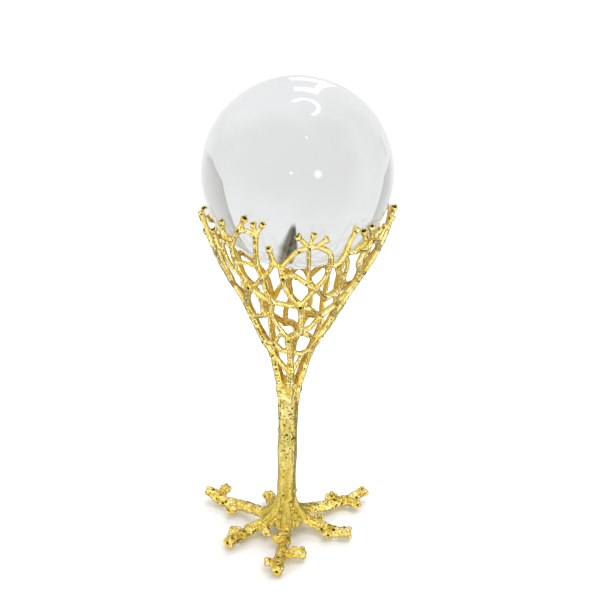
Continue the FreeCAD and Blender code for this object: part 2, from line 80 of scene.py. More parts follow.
# Where branches meet, for each spray: azimuth about the basket's axis, height along that axis.
SPRAY_JUNCTIONS = {
    "f": [
        (-84, 92), (-85, 101), (-88, 110), (-91, 119), (-93, 127), (-78, 132), (-79, 143), (-83, 152),
        (-90, 158), (-95, 165), (-97, 173), (-98, 180), (-103, 183), (-105, 190), (-93, 186),
        (-88, 191), (-82, 193), (-88, 199), (-80, 200), (-77, 194), (-73, 197), (-69, 189), (-67, 182),
        (-68, 172), (-73, 165), (-81, 182), (-80, 173), (-90, 175), (-82, 170), (-96, 153), (-108, 154),
        (-112, 146), (-109, 137), (-102, 131), (-78, 158), (-74, 150), (-65, 146), (-64, 135),
        (-76, 116), (-61, 115), (-66, 108),
    ],
    "l": [
        (-152, 92), (-150, 102), (-145, 112), (-153, 119), (-151, 127), (-150, 136), (-146, 145),
        (-136, 153), (-127, 161), (-130, 168), (-132, 176), (-132, 184), (-129, 191), (-124, 198),
        (-120, 205), (-118, 199), (-114, 203), (-109, 204), (-113, 197), (-114, 186), (-114, 178),
        (-112, 171), (-119, 165), (-106, 177), (-112, 162), (-118, 157), (-121, 149), (-125, 141),
        (-111, 127), (-122, 121), (-107, 117), (-118, 107), (-137, 198), (-136, 191), (-125, 178),
        (-139, 172), (-141, 182),
    ],
    "r": [
        (-18, 92), (-18, 100), (-24, 108), (-33, 116), (-45, 124), (-32, 130), (-29, 138), (-42, 149),
        (-50, 158), (-51, 164), (-57, 172), (-62, 180), (-58, 187), (-57, 193), (-54, 200), (-47, 197),
        (-44, 191), (-51, 187), (-41, 186), (-38, 190), (-41, 198), (-32, 194), (-43, 177), (-36, 170),
        (-33, 160), (-52, 171), (-54, 180), (-62, 158), (-55, 143), (-63, 129), (-26, 147), (-23, 156),
        (-22, 165), (-21, 171), (-20, 179), (-16, 187), (-12, 194), (-28, 186), (-24, 193),
    ],
    "s": [
        (32, 92), (26, 101), (16, 110), (8, 119), (-4, 127), (-6, 137), (24, 121), (32, 127), (43, 134),
        (28, 141), (14, 147), (0, 152), (2, 162), (14, 167), (-3, 172), (-5, 179), (2, 187), (-2, 196),
        (9, 192), (18, 176), (22, 186), (19, 196), (28, 194), (30, 168), (38, 160), (36, 150),
        (47, 144), (33, 177), (41, 185), (38, 199), (46, 196), (-11, 145), (-10, 155), (-10, 164),
        (-1, 108), (-13, 118),
    ],
    "b": [
        (88, 92), (86, 101), (80, 110), (75, 117), (90, 120), (103, 120), (99, 127), (92, 133),
        (94, 141), (84, 148), (72, 143), (64, 134), (62, 125), (56, 151), (62, 161), (73, 158),
        (88, 158), (97, 166), (86, 173), (74, 170), (66, 178), (58, 172), (60, 187), (56, 197),
        (65, 200), (76, 186), (79, 197), (88, 183), (91, 193), (88, 202), (97, 201), (98, 178),
        (104, 186), (102, 157),
    ],
    "k": [
        (148, 92), (151, 102), (145, 111), (136, 118), (128, 125), (137, 132), (144, 140), (154, 148),
        (151, 158), (141, 157), (130, 150), (121, 142), (118, 133), (107, 137), (118, 160), (112, 168),
        (122, 176), (116, 186), (111, 196), (120, 199), (134, 172), (140, 181), (134, 191), (131, 202),
        (142, 196), (155, 168), (158, 178), (153, 188), (155, 200), (166, 180), (170, 187), (170, 141),
        (-176, 133), (172, 124), (168, 114), (-170, 151), (-168, 161), (-160, 167), (170, 171),
        (-158, 173), (-156, 180), (-160, 188), (-164, 194), (-147, 181), (-147, 190), (176, 177),
        (-176, 187), (-158, 154), (-150, 162), (-150, 172), (-165, 110), (-169, 121), (-165, 132),
        (-166, 142), (-173, 171), (-169, 182),
    ],
}
JUNCTIONS = {}
for letter, places in SPRAY_JUNCTIONS.items():
    for index, place in enumerate(places):
        JUNCTIONS[letter + str(index)] = place
SPRAY_LETTERS = {
    "spray_front": "f", "spray_front_left": "l", "spray_front_right": "r",
    "spray_back_right": "s", "spray_back": "b", "spray_back_left": "k",
}

# Branches of each spray: the weight, then the junctions that the branch runs through.
BRANCHES = {
    "spray_front": [
        "heavy f0 f1 f2 f3 f4 f5", "heavy f5 f6 f7 f8 f9 f10 f11", "medium f11 f12 f13",
        "medium f11 f14 f15 f16", "light f16 f17", "light f16 f18", "medium f16 f19 f20",
        "medium f19 f21 f22 f23 f24", "light f16 f25 f26 f24", "medium f10 f27 f28 f24",
        "medium f24 f34 f7", "medium f7 f29 f30", "medium f30 f31 f32 f33 f4", "medium f7 f35 f36",
        "medium f5 f37", "light f3 f38 f39", "light f39 f40 f1",
    ],
    "spray_front_left": [
        "heavy l0 l1 l2 l3 l4 l5 l6 l7 l8", "medium l8 l9 l10 l11 l12 l13 l14", "medium l13 l15 l18",
        "light l18 l16", "light l18 l17", "medium l18 l19 l20 l21", "medium l8 l22 l21",
        "medium l21 l23 f12", "medium l21 l24 f30", "medium l8 l25 f30", "light l25 l26 l27",
        "light l5 l27 f31", "light f33 l28 l29", "medium l3 l29 l30 f3", "medium l2 l31 f1",
        "medium l12 l33 l32", "light l10 l34 l20", "light l9 l35 l36 l33",
    ],
    "spray_front_right": [
        "heavy r0 r1 r2 r3 r4 r5 r6", "medium r6 r7 r8 r9 r10 r11", "medium r11 r12 r13 r14",
        "medium r17 r16 r15", "medium r12 r17 r18 r19 r20", "light r19 r21",
        "medium r18 r22 r23 r24 r7", "light r12 r26 r25 r9", "medium f22 r11", "medium f24 r27 r8",
        "medium r7 r28 f37", "light r28 f36", "medium f5 r29 r4", "light f39 r3",
        "medium r6 r30 r31 r32 r33 r34 r35 r36", "medium r19 r37 r34", "light r32 r23",
        "light r37 r38",
    ],
    "spray_back_right": [
        "heavy s0 s1 s2 s3 s4 s5 r30", "medium s2 s6 s7 s8 s26", "medium s8 s9 s10 s11 r31",
        "medium s11 s12 s13 s19 s20 s21", "light s20 s22", "medium s12 s14 s15 s16 s17",
        "light s16 s18", "medium s13 s23 s24 s25 s9", "medium s23 s27 s28 s29", "light s28 s30",
        "light s14 r33", "light s15 r35", "light s19 s27", "light s10 s25", "light s3 s6",
        "light s5 s31 s32 s33 s14", "light s32 r31", "light r1 s34 s35 s4",
    ],
    "spray_back": [
        "heavy b0 b1 b2 b3 b4 b5", "medium b5 b6 b7 b8 b9 b10 b11 b12 b3", "medium s26 b13 b10",
        "medium b13 b14 b15 b16 b17 b31 b32", "medium b9 b16", "medium b15 b19 b20 b22 b23",
        "light b22 b24", "medium b14 b21 s23", "light b19 b18 b27 b25 b26", "medium b27 b28 b29",
        "light b28 b30", "light b17 b18", "light b21 b20", "medium b12 s7", "light b8 b33 b17",
    ],
    "spray_back_left": [
        "heavy k0 k1 k2 k3 k4 k5 k6 k7 k8", "medium k4 b5", "medium k8 k9 k10 k11 k12 k13 b8",
        "medium k12 k4", "medium k10 k14 k15 k16 k17 k18", "light k17 k19", "light k14 b33",
        "light k15 b31", "medium k9 k20 k21 k22 k23", "light k21 k24", "light k16 k20",
        "medium k8 k25 k26 k27 k28", "light k26 k29 k30", "medium k7 k31 k32 k33 k34 k1",
        "medium k31 k35 k36 k37 k39 k40 k41 k42", "medium k36 k38 k25", "medium k39 k43 k44",
        "light k38 k45 k46", "light l6 k47 k37", "light l4 k32", "light k43 l36",
        "light k47 k48 k49 k43", "light l1 k50 k51 k52 k53 k35", "light k52 k32", "light k50 k34",
        "light k36 k54 k55",
    ],
}

# Roots: points (x from the stem, y, z, radius) of the trunk and of its stubs, and the place of the foot.
ROOTS = {
    "root_back_left": {
        "trunk": [
            (-6.5, 2.2, 9.2, 2.8), (-11.6, 3.8, 8, 3.2), (-20, 12, 6, 3.2),
            (-26, 17, 4.8, 3.2), (-33, 21, 4, 3.2), (-38.6, 24.6, 4.6, 3),
            (-42.7, 28.6, 6, 2.6),
        ],
        "stubs": [
            [(-38.6, 24.6, 4.6, 2.6), (-34.4, 32.4, 6, 2.4)],
            [(-26, 17, 4.8, 2.4), (-30.6, 12.8, 4.6, 2.3)],
        ],
        "foot": (-33, 21),
    },
    "root_front_left": {
        "trunk": [
            (-6, -3.9, 9, 2.8), (-11.4, -5.4, 6.8, 3.2), (-16.3, -6.4, 5.2, 3.2),
            (-22, -12, 4.4, 3.2), (-27, -17.6, 4, 3.2), (-30, -22, 4.4, 2.8),
        ],
        "stubs": [
            [(-22, -12, 4.4, 2.6), (-28.3, -11.7, 5, 2.4)],
            [(-11.4, -5.4, 6.8, 2.4), (-10.7, -10.6, 5, 2.3)],
        ],
        "foot": (-27, -17.6),
    },
    "root_front": {
        "trunk": [
            (0.6, -6, 9, 3), (0.5, -10.5, 7.2, 3.4), (0.3, -15.5, 5.8, 3.2),
            (-0.6, -24.4, 4.7, 3.2), (-2.1, -34, 4.4, 3.2), (-3.5, -43, 4, 3.1),
            (-4, -49.2, 4.2, 2.6),
        ],
        "stubs": [
            [(0.3, -15.5, 5.8, 2.4), (-4.6, -18.6, 5.2, 2.3)],
            [(-2.1, -34, 4.4, 2.6), (3.4, -33.6, 4.6, 2.6), (8.2, -32.5, 4.6, 2.8)],
            [(-3.5, -43, 4, 2.4), (-8.6, -42.4, 4.6, 2.3)],
        ],
        "foot": (-3.5, -43),
    },
    "root_right": {
        "trunk": [
            (6.5, 0.2, 9, 2.8), (10.8, 0.2, 7, 3.2), (16.2, -2.2, 5.4, 3.2),
            (21.8, -4.8, 4.6, 3.1), (27.3, -8.6, 4, 3.1), (33.3, -9.6, 4.4, 2.8),
        ],
        "stubs": [
            [(16.2, -2.2, 5.4, 2.4), (17.8, 3.4, 5.8, 2.3)],
            [(21.8, -4.8, 4.6, 2.4), (23, -10.8, 4.4, 2.3)],
        ],
        "foot": (27.3, -8.6),
    },
    "root_back_right": {
        "trunk": [
            (4.4, 5.6, 9.2, 2.8), (11.7, 11.4, 6.9, 3.2), (17.3, 15.3, 5.4, 3.2),
            (22.9, 18.6, 4.8, 3.2), (28.6, 23.3, 4.5, 3.2), (34.3, 26.6, 4, 3.1),
            (39.4, 30.5, 4.8, 2.8), (42.7, 31.8, 6.2, 2.6),
        ],
        "stubs": [
            [(22.9, 18.6, 4.8, 2.6), (25.7, 26.2, 6, 2.4)],
            [(34.3, 26.6, 4, 2.4), (38.7, 21.9, 4.4, 2.3)],
        ],
        "foot": (34.3, 26.6),
    },
    "root_back": {
        "trunk": [
            (-2, 6.4, 9, 2.7), (-4.4, 13, 6.6, 3.1), (-8, 21.5, 4, 3.1),
            (-10, 27, 5, 2.6),
        ],
        "stubs": [],
        "foot": (-8, 21.5),
    },
}

# Junctions that carry a small cupped polyp on their outer face.
POLYPS = (
    "f24 f7 f4 f16 f28 f15 f10 l8 l21 l5 l13 l18 r8 r11 r4 r7 r19 r32 r23 r34 f5 f39 l3 l29 r17 "
    "s12 s15 s8 s20 s23 s28 b9 b14 b17 b22 b28 b31 k8 k10 k16 k21 k26 k36 k39 k40 k31"
).split()

CUP_FOOT = Vector((STEM_X, 0, CUP_FOOT_Z))
BALL_CENTRE = Vector((0, 0, BALL_HEIGHT))
CUP_AXIS = (BALL_CENTRE - CUP_FOOT).normalized()
CUP_SIDE = Vector((CUP_AXIS.z, 0, -CUP_AXIS.x))


def from_stem(x, y, z):
    """Point whose x is measured from the stem's axis."""
    return Vector((x + STEM_X, y, z))


def on_axis(radius, azimuth, z):
    """Point at a radius and an azimuth from the stem's axis."""
    angle = math.radians(azimuth)
    return from_stem(radius * math.cos(angle), radius * math.sin(angle), z)


def along_table(table, at):
    """Straight-line reading of a table of (position, value) points."""
    xs = [row[0] for row in table]
    ys = [row[1] for row in table]
    return float(np.interp(at, xs, ys))


def outward(azimuth):
    """Direction square to the basket's axis at an azimuth in degrees."""
    angle = math.radians(azimuth)
    return CUP_SIDE * math.cos(angle) + Vector((0, math.sin(angle), 0))


def junction_point(name):
    """Centre of a junction, just inside the basket's outer skin."""
    azimuth, height = JUNCTIONS[name]
    radius = along_table(BASKET_PROFILE, height) - BRANCH_INSET
    return CUP_FOOT + CUP_AXIS * (height - CUP_FOOT_Z) + outward(azimuth) * radius


POINTS = {name: junction_point(name) for name in JUNCTIONS}
SEGMENTS = []
for spray, branches in BRANCHES.items():
    for branch in branches:
        weight, *names = branch.split()
        for first, last in zip(names, names[1:]):
            SEGMENTS.append((spray, BRANCH_RADIUS[weight], first, last))


def neighbours(junction):
    """(other junction, radius) of every branch that ends at a junction."""
    found = []
    for _, radius, first, last in SEGMENTS:
        if first == junction:
            found.append((last, radius))
        elif last == junction:
            found.append((first, radius))
    return found


def is_tip(junction):
    """True for the free end of a branch."""
    return len(neighbours(junction)) == 1 and JUNCTIONS[junction][1] > COLLAR_TOP


# -------- soft metal shapes

def smooth_line(points, step=0.7):
    """Catmull-Rom line through the points, sampled about every step millimetres, with the position along
    the control points for each sample."""
    padded = [points[0] * 2 - points[1]] + list(points) + [points[-1] * 2 - points[-2]]
    samples = []
    for index in range(len(points) - 1):
        a, b, c, d = padded[index:index + 4]
        count = max(2, int((c - b).length / step))
        for k in range(count):
            t = k / count
            samples.append((0.5 * (2 * b + (c - a) * t + (2 * a - 5 * b + 4 * c - d) * t ** 2
                                   + (3 * b - a - 3 * c + d) * t ** 3), index + t))
    samples.append((points[-1].copy(), len(points) - 1.0))
    return samples


def ring_quads(start, gaps, sides):
    """Faces between neighbouring rings of vertices, from the ring that starts at index start."""
    faces = []
    for i in range(gaps):
        low = start + i * sides
        high = low + sides
        for j in range(sides):
            faces.append((low + j, low + (j + 1) % sides, high + (j + 1) % sides, high + j))
    return faces


def unit_sphere(rings, sides):
    """Vertices and faces of a closed sphere of radius 1."""
    verts = [(0, 0, -1)]
    for i in range(1, rings):
        polar = math.pi * i / rings
        for j in range(sides):
            turn = 2 * math.pi * j / sides
            x = math.sin(polar) * math.cos(turn)
            verts.append((x, math.sin(polar) * math.sin(turn), -math.cos(polar)))
    verts.append((0, 0, 1))
    last = len(verts) - 1
    base = last - sides
    faces = [(0, 1 + (j + 1) % sides, 1 + j) for j in range(sides)]
    faces += ring_quads(1, rings - 2, sides)
    faces += [(base + j, base + (j + 1) % sides, last) for j in range(sides)]
    return verts, faces


def linked_object(name, data):
    """An object of the scene that shows some data."""
    body = bpy.data.objects.new(name, data)
    bpy.context.scene.collection.objects.link(body)
    return body


def mesh_object(name, verts, faces):
    """A mesh object of the scene."""
    mesh = bpy.data.meshes.new(name)
    mesh.from_pydata(verts, [], faces)
    return linked_object(name, mesh)


LUMP_VERTS, LUMP_FACES = unit_sphere(7, 12)
LUMP_VERTS = [Vector(vert) for vert in LUMP_VERTS]


class Clay:
    """Closed tubes and balls that are melted into one skin by a voxel remesh, in millimetres."""

    def __init__(self):
        self.verts = []
        self.faces = []
        self.cups = []

    def ball(self, centre, radius):
        """A round lump."""
        start = len(self.verts)
        for v in LUMP_VERTS:
            self.verts.append((centre.x + v.x * radius, centre.y + v.y * radius, centre.z + v.z * radius))
        self.faces += [tuple(start + i for i in face) for face in LUMP_FACES]

    def tube(self, line, radii, sides=12):
        """Tube with rounded ends along sampled points; one radius for each point."""
        start = len(self.verts)
        tangent = (line[1] - line[0]).normalized()
        side = tangent.orthogonal().normalized()
        for index, point in enumerate(line):
            ahead = line[min(index + 1, len(line) - 1)]
            behind = line[max(index - 1, 0)]
            fresh = (ahead - behind).normalized()
            side = (side - fresh * side.dot(fresh)).normalized()
            cross = fresh.cross(side)
            for j in range(sides):
                turn = 2 * math.pi * j / sides
                v = point + (side * math.cos(turn) + cross * math.sin(turn)) * radii[index]
                self.verts.append((v.x, v.y, v.z))
        self.faces += ring_quads(start, len(line) - 1, sides)
        self.faces.append(tuple(start + j for j in reversed(range(sides))))
        last = start + (len(line) - 1) * sides
        self.faces.append(tuple(last + j for j in range(sides)))
        self.ball(line[0], radii[0])
        self.ball(line[-1], radii[-1])

    def branch(self, points, radii, lumps=0.10, step=0.7):
        """Tube on a smooth line through points, whose thickness swells and thins a little."""
        samples = smooth_line(points, step)
        line = [p for p, t in samples]
        table = list(enumerate(radii))
        thick = []
        for p, t in samples:
            swell = 1 + lumps * noise.noise(p * 0.35)
            swell += 0.5 * lumps * noise.noise(p * 0.9 + Vector((7, 1, 3)))
            thick.append(along_table(table, t) * swell)
        self.tube(line, thick)

    def cup(self, centre, direction, radius, depth):
        """A dent pressed into the finished skin, with painted shade in it that is darkest at its middle.
        """
        self.cups.append((centre, direction.normalized(), radius, depth))

    def knob(self, centre, direction, radius, hole=0.74):
        """Splayed end of a branch: a fat head with a toothed rim round a cup, which gets painted shade."""
        direction = direction.normalized()
        side = direction.orthogonal().normalized()
        cross = direction.cross(side)
        self.ball(centre, radius)
        teeth = 4
        for k in range(teeth):
            turn = 2 * math.pi * (k + 0.4 * RANDOM.random()) / teeth
            rim = side * math.cos(turn) + cross * math.sin(turn)
            reach = radius * (0.56 + 0.16 * RANDOM.random())
            lift = radius * (0.35 + 0.35 * RANDOM.random())
            self.ball(centre + rim * reach + direction * lift, radius * 0.52)
            if k % 2 == 0:
                dent = centre + rim * radius * 0.9 - direction * radius * 0.2
                self.cup(dent, rim, radius * 0.36, radius * 0.3)
        self.cup(centre + direction * radius * 0.75, direction, radius * hole, radius * 1.3 * hole)

    def object(self, name, voxel, grain):
        """The melted, smoothed and grained mesh object, in metres."""
        rough = mesh_object(name + "_clay", self.verts, self.faces)
        remesh = rough.modifiers.new("melt", "REMESH")
        remesh.mode = "VOXEL"
        remesh.voxel_size = voxel
        ease = rough.modifiers.new("ease", "SMOOTH")
        ease.factor = 0.5
        ease.iterations = SMOOTHING_PASSES
        graph = bpy.context.evaluated_depsgraph_get()
        made = bpy.data.meshes.new_from_object(rough.evaluated_get(graph))
        bpy.data.meshes.remove(rough.data)
        made.name = name
        count = len(made.vertices)
        place = np.empty(count * 3)
        normal = np.empty(count * 3)
        made.vertices.foreach_get("co", place)
        made.vertices.foreach_get("normal", normal)
        place = place.reshape(-1, 3)
        normal = normal.reshape(-1, 3)
        shade = np.zeros(count)
        push = np.array([grain(Vector(point)) for point in place])
        place += normal * push[:, None]
        for centre, direction, radius, depth in self.cups:
            offset = place - np.array(centre)
            height = offset @ np.array(direction)
            spread = np.linalg.norm(offset - height[:, None] * np.array(direction), axis=1)
            inside = (spread < radius) & (np.abs(height) < 1.3 * radius)
            bowl = (1 - (spread[inside] / radius) ** 2) ** 1.5
            place[inside] -= np.array(direction) * (depth * bowl)[:, None]
            # painted shade: the deeper a vertex lies in a cup, the darker the metal is painted there
            shade[inside] = np.maximum(shade[inside], np.minimum(1.0, 2.2 * bowl))
        # how much each face looks in at the basket's axis, for the painted reflection and shade of the
        # inner faces
        from_axis = place - np.array(CUP_FOOT)
        from_axis -= (from_axis @ np.array(CUP_AXIS))[:, None] * np.array(CUP_AXIS)
        from_axis /= np.linalg.norm(from_axis, axis=1)[:, None] + 1e-9
        inward = np.clip(-(normal * from_axis).sum(axis=1), 0.0, 1.0)
        made.vertices.foreach_set("co", (place * MM).reshape(-1))
        for title, values in (("painted_dent_shade", shade), ("inward", inward)):
            layer = made.attributes.new(title, "FLOAT", "POINT")
            layer.data.foreach_set("value", values)
        made.shade_smooth()
        made.update()
        return linked_object(name, made)


def coral_grain(p):
    """Height of the fine casting grain on the coral, in millimetres."""
    swell = noise.noise(p * 0.7) * 0.09
    knurl = noise.noise(p * 2.1 + Vector((3, 9, 1))) * 0.03
    low = max(0.0, 1 - (p.z - 88) / 22) * noise.noise(Vector((p.x * 1.5, p.y * 1.5, p.z * 0.6))) * 0.22
    return swell + knurl + low


def root_grain(p):
    """Ridges and casting grain on the roots, in millimetres."""
    ridge = abs(noise.noise(p * 0.36)) * 0.55 - 0.15
    return ridge + noise.noise(p * 0.8 + Vector((5, 2, 8))) * 0.14 + noise.noise(p * 2.2) * 0.02


def flare_grain(p):
    """Bark that runs down the trunk and out along the roots."""
    return bark(math.atan2(p.y, p.x - STEM_X), p.z, 1.3)


def add_webs(clay, junction):
    """Rounds the corners between the branches that meet at a junction."""
    centre = POINTS[junction]
    normal = outward(JUNCTIONS[junction][0])
    normal = (normal - CUP_AXIS * 0.4).normalized()
    east = CUP_AXIS.cross(normal).normalized()
    north = normal.cross(east)
    spokes = []
    for other, radius in neighbours(junction):
        reach = POINTS[other] - centre
        turn = math.atan2(reach.dot(north), reach.dot(east))
        spokes.append((turn, reach.length, reach.normalized(), radius))
    spokes.sort(key=lambda spoke: spoke[0])
    if len(spokes) < 3:
        return
    for one, two in zip(spokes, spokes[1:] + spokes[:1]):
        gap = (two[0] - one[0]) % (2 * math.pi)
        if not 0.3 < gap < 2.5:
            continue
        thin = min(one[3], two[3])
        reach = min(0.48 * min(one[1], two[1]), thin * (0.9 + 1.1 / math.tan(gap / 2)))
        middle = (one[2] + two[2]).normalized()
        start = centre + one[2] * reach
        end = centre + two[2] * reach
        bend = centre + middle * thin * 0.55
        line = [start.lerp(bend, t).lerp(bend.lerp(end, t), t) for t in np.linspace(0, 1, 9)]
        clay.tube(line, [thin * 0.66] * len(line), sides=8)


def polyp(clay, place, azimuth, reach, size):
    """A small open bud on the outer side of a branch."""
    out = outward(azimuth) - CUP_AXIS * 0.3 + 0.5 * Vector([RANDOM.uniform(-1, 1) for _ in range(3)])
    out.normalize()
    centre = place + out * reach
    clay.ball(centre, size)
    clay.cup(centre + out * size * 0.75, out, size * 0.66, size * 0.8)


def coral_spray(spray):
    """One casting: branches, rounded junctions, knobs and polyps."""
    letter = SPRAY_LETTERS[spray]
    clay = Clay()
    for branch in BRANCHES[spray]:
        weight, *names = branch.split()
        swell = [JUNCTION_SWELL if len(neighbours(name)) > 2 else PLAIN_SWELL for name in names]
        points = [POINTS[name].copy() for name in names]
        radii = [BRANCH_RADIUS[weight] * times for times in swell]
        if JUNCTIONS[names[0]][1] < COLLAR_TOP:
            radii[0] *= 1.15
        clay.branch(points, radii)
    own = [name for name in JUNCTIONS if name[0] == letter]
    for name in own:
        if is_tip(name):
            inner = neighbours(name)[0][0]
            along = (POINTS[name] - POINTS[inner]).normalized()
            clay.knob(POINTS[name] + along * 0.25, along, 1.95 if neighbours(name)[0][1] > 1.3 else 1.75)
        else:
            add_webs(clay, name)
        if name in POLYPS:
            thick = max(radius for _, radius in neighbours(name))
            polyp(clay, POINTS[name], JUNCTIONS[name][0], thick * 0.55, thick * 0.9)
    for first, last in (piece[2:] for piece in SEGMENTS if piece[0] == spray):
        azimuth = 0.5 * (JUNCTIONS[first][0] + JUNCTIONS[last][0])
        if abs(JUNCTIONS[first][0] - JUNCTIONS[last][0]) > 180:
            azimuth += 180
        crowded = abs(math.cos(math.radians(azimuth))) ** 2
        length = (POINTS[last] - POINTS[first]).length
        count = int(length * (0.08 + 0.30 * crowded) * RANDOM.random() + 0.5)
        for _ in range(count):
            place = POINTS[first].lerp(POINTS[last], RANDOM.random())
            polyp(clay, place, azimuth + RANDOM.uniform(-50, 50), 0.9, RANDOM.uniform(0.65, 1.0))
    return clay.object(spray, SPRAY_VOXEL, coral_grain)


def root_branch(name):
    """One knobbly root from the hub to its tip."""
    root = ROOTS[name]
    clay = Clay()
    for line in [root["trunk"]] + root["stubs"]:
        points = [from_stem(*row[:3]) for row in line]
        radii = [row[3] for row in line]
        clay.branch(points, [r * 0.98 for r in radii], lumps=0.16)
        along = (points[-1] - points[-2]).normalized()
        side = along.cross(Vector((0, 0, 1))).normalized()
        thick = radii[-1]
        for _ in range(4):
            lump = points[-1] + side * RANDOM.uniform(-0.8, 0.8) * thick
            lump -= along * RANDOM.uniform(-0.1, 1.3) * thick
            lump += Vector((0, 0, RANDOM.uniform(-0.1, 0.6) * thick))
            clay.ball(lump, thick * RANDOM.uniform(0.65, 0.92))
        clay.knob(points[-1], along, thick * 1.1, hole=0.34)
    trunk = [from_stem(*row[:3]) for row in root["trunk"]]
    for index in range(2, len(trunk) - 1):
        thick = root["trunk"][index][3]
        for _ in range(1 if index == 2 else 2):
            turn = RANDOM.uniform(0, math.pi)
            side = (trunk[index] - trunk[index - 1]).normalized().cross(Vector((0, 0, 1)))
            way = side * math.cos(turn) + Vector((0, 0, 1)) * math.sin(turn)
            spot = trunk[index].lerp(trunk[index + 1], RANDOM.random()) + way * thick * 0.62
            clay.ball(spot, thick * RANDOM.uniform(0.38, 0.55))
            clay.cup(spot + way * thick * 0.45, way, thick * 0.32, thick * 0.35)
    clay.ball(from_stem(*root["foot"], FOOT_HEIGHT), FOOT_RADIUS)
    return clay.object(name, ROOT_VOXEL, root_grain)


# -------- turned pieces with bark

def bark(angle, z, depth=1.0):
    """Height of the bark in millimetres: long ridges and a slow wave."""
    around = Vector((math.cos(angle) * 3.2, math.sin(angle) * 3.2, z * 0.10))
    ridge = noise.noise(around) * 0.15
    ridge += noise.noise(Vector((math.cos(angle) * 7, math.sin(angle) * 7, z * 0.16 + 4))) * 0.10
    wave = noise.noise(Vector((math.cos(angle) * 1.1, math.sin(angle) * 1.1, z * 0.07 + 9))) * 0.40
    knurl = noise.noise(Vector((math.cos(angle) * 9, math.sin(angle) * 9, z * 1.1))) * 0.06
    return (ridge + wave + knurl) * depth


def pit_depth(angle, z):
    """Depth of the dents in the bark, which gather in patches, most of them in the upper half of the stem;
    the depth also sets their painted shade.
    """
    cell = Vector((math.cos(angle) * 4.2, math.sin(angle) * 4.2, z * 0.85))
    patch = noise.noise(Vector((math.cos(angle) * 1.3, math.sin(angle) * 1.3, z * 0.16 + 2)))
    strength = noise.noise(cell + Vector((11, 3, 5))) + 0.45 * noise.noise(cell * 2.2) + 0.55 * patch
    level = 0.34 if z > 50 else 0.50
    return max(0.0, min(1.0, (strength - level) * 5))


def turned_bark(name, z0, z1, radius_at, rows, sides=150):
    """Closed turned body round the stem axis with bark on it; radius_at gives its radius at a height."""
    verts = []
    shade = []
    for i in range(rows + 1):
        z = z0 + (z1 - z0) * i / rows
        for j in range(sides):
            angle = 2 * math.pi * j / sides
            pit = pit_depth(angle, z)
            radius = radius_at(z, angle) + bark(angle, z) - 0.45 * pit
            verts.append(((STEM_X + math.cos(angle) * radius) * MM, math.sin(angle) * radius * MM, z * MM))
            # painted shade: the deeper a dent, the darker it is painted
            shade.append(pit)
    faces = ring_quads(0, rows, sides)
    faces.append(tuple(reversed(range(sides))))
    faces.append(tuple(rows * sides + j for j in range(sides)))
    body = mesh_object(name, verts, faces)
    layer = body.data.attributes.new("painted_dent_shade", "FLOAT", "POINT")
    layer.data.foreach_set("value", shade)
    body.data.shade_smooth()
    return body


# -------- materials

def new_material(name):
    """A material with its node tree and its shader node."""
    material = bpy.data.materials.new(name)
    material.use_nodes = True
    tree = material.node_tree
    shader = tree.nodes["Principled BSDF"]
    return material, tree, shader


def add_node(tree, kind, settings=(), **inputs):
    """A node with its properties and constant inputs set."""
    node = tree.nodes.new(kind)
    for key, value in dict(settings).items():
        setattr(node, key, value)
    for key, value in inputs.items():
        node.inputs[key.replace("_", " ")].default_value = value
    return node


def object_coordinates(tree, scale):
    """Socket of the object's own coordinates in metres, times a scale."""
    where = add_node(tree, "ShaderNodeTexCoord")
    mapping = add_node(tree, "ShaderNodeMapping")
    mapping.inputs["Scale"].default_value = scale
    tree.links.new(where.outputs["Object"], mapping.inputs["Vector"])
    return mapping.outputs["Vector"]


def ramp(tree, source, stops):
    """Colour of a value between stops of (value, colour)."""
    node = add_node(tree, "ShaderNodeValToRGB")
    elements = node.color_ramp.elements
    while len(elements) < len(stops):
        elements.new(0.5)
    for element, (at, colour) in zip(elements, stops):
        element.position = at
        element.color = (*colour, 1)
    tree.links.new(source, node.inputs["Fac"])
    return node.outputs["Color"]


def maths(tree, operation, *values):
    """Result of a math node; each value is a number or a socket."""
    node = add_node(tree, "ShaderNodeMath", {"operation": operation})
    for socket, value in zip(node.inputs, values):
        if isinstance(value, (int, float)):
            socket.default_value = value
        else:
            tree.links.new(value, socket)
    return node.outputs[0]


def mixed(tree, factor, one, two):
    """Colour mix of two sockets or colours."""
    node = add_node(tree, "ShaderNodeMix", {"data_type": "RGBA"})
    tree.links.new(factor, node.inputs["Factor"])
    for key, value in (("A", one), ("B", two)):
        if isinstance(value, tuple):
            node.inputs[key].default_value = (*value, 1)
        else:
            tree.links.new(value, node.inputs[key])
    return node.outputs["Result"]


def smooth_step(tree, value, low, high):
    """0 below low, 1 above high."""
    node = add_node(tree, "ShaderNodeMapRange", {"interpolation_type": "SMOOTHSTEP"})
    node.inputs["From Min"].default_value = low
    node.inputs["From Max"].default_value = high
    tree.links.new(value, node.inputs["Value"])
    return node.outputs["Result"]


def noise_texture(tree, vector, **inputs):
    """Value of a noise texture at a vector."""
    node = add_node(tree, "ShaderNodeTexNoise", **inputs)
    tree.links.new(vector, node.inputs["Vector"])
    return node.outputs["Fac"]


def set_gloss(tree, shader, grain, low, high):
    """Roughness that follows the grain."""
    gloss = add_node(tree, "ShaderNodeMapRange", To_Min=low, To_Max=high)
    tree.links.new(grain, gloss.inputs["Value"])
    tree.links.new(gloss.outputs["Result"], shader.inputs["Roughness"])


def set_relief(tree, shader, grain, strength, distance):
    """Fine relief that follows the grain."""
    relief = add_node(tree, "ShaderNodeBump", Strength=strength, Distance=distance)
    tree.links.new(grain, relief.inputs["Height"])
    tree.links.new(relief.outputs["Normal"], shader.inputs["Normal"])


# Deep orange of the painted reflection and shade on faces that look in at the basket.
PAINTED_INNER_REFLECTION_TINT = (0.62, 0.36, 0.035)
# Darker, redder colour that the metal takes towards the floor.
FOOT_TINT = (0.62, 0.45, 0.06)
# Near-black colour of the painted shade in dents and dark dots.
PAINTED_SHADE_TINT = (0.035, 0.022, 0.004)


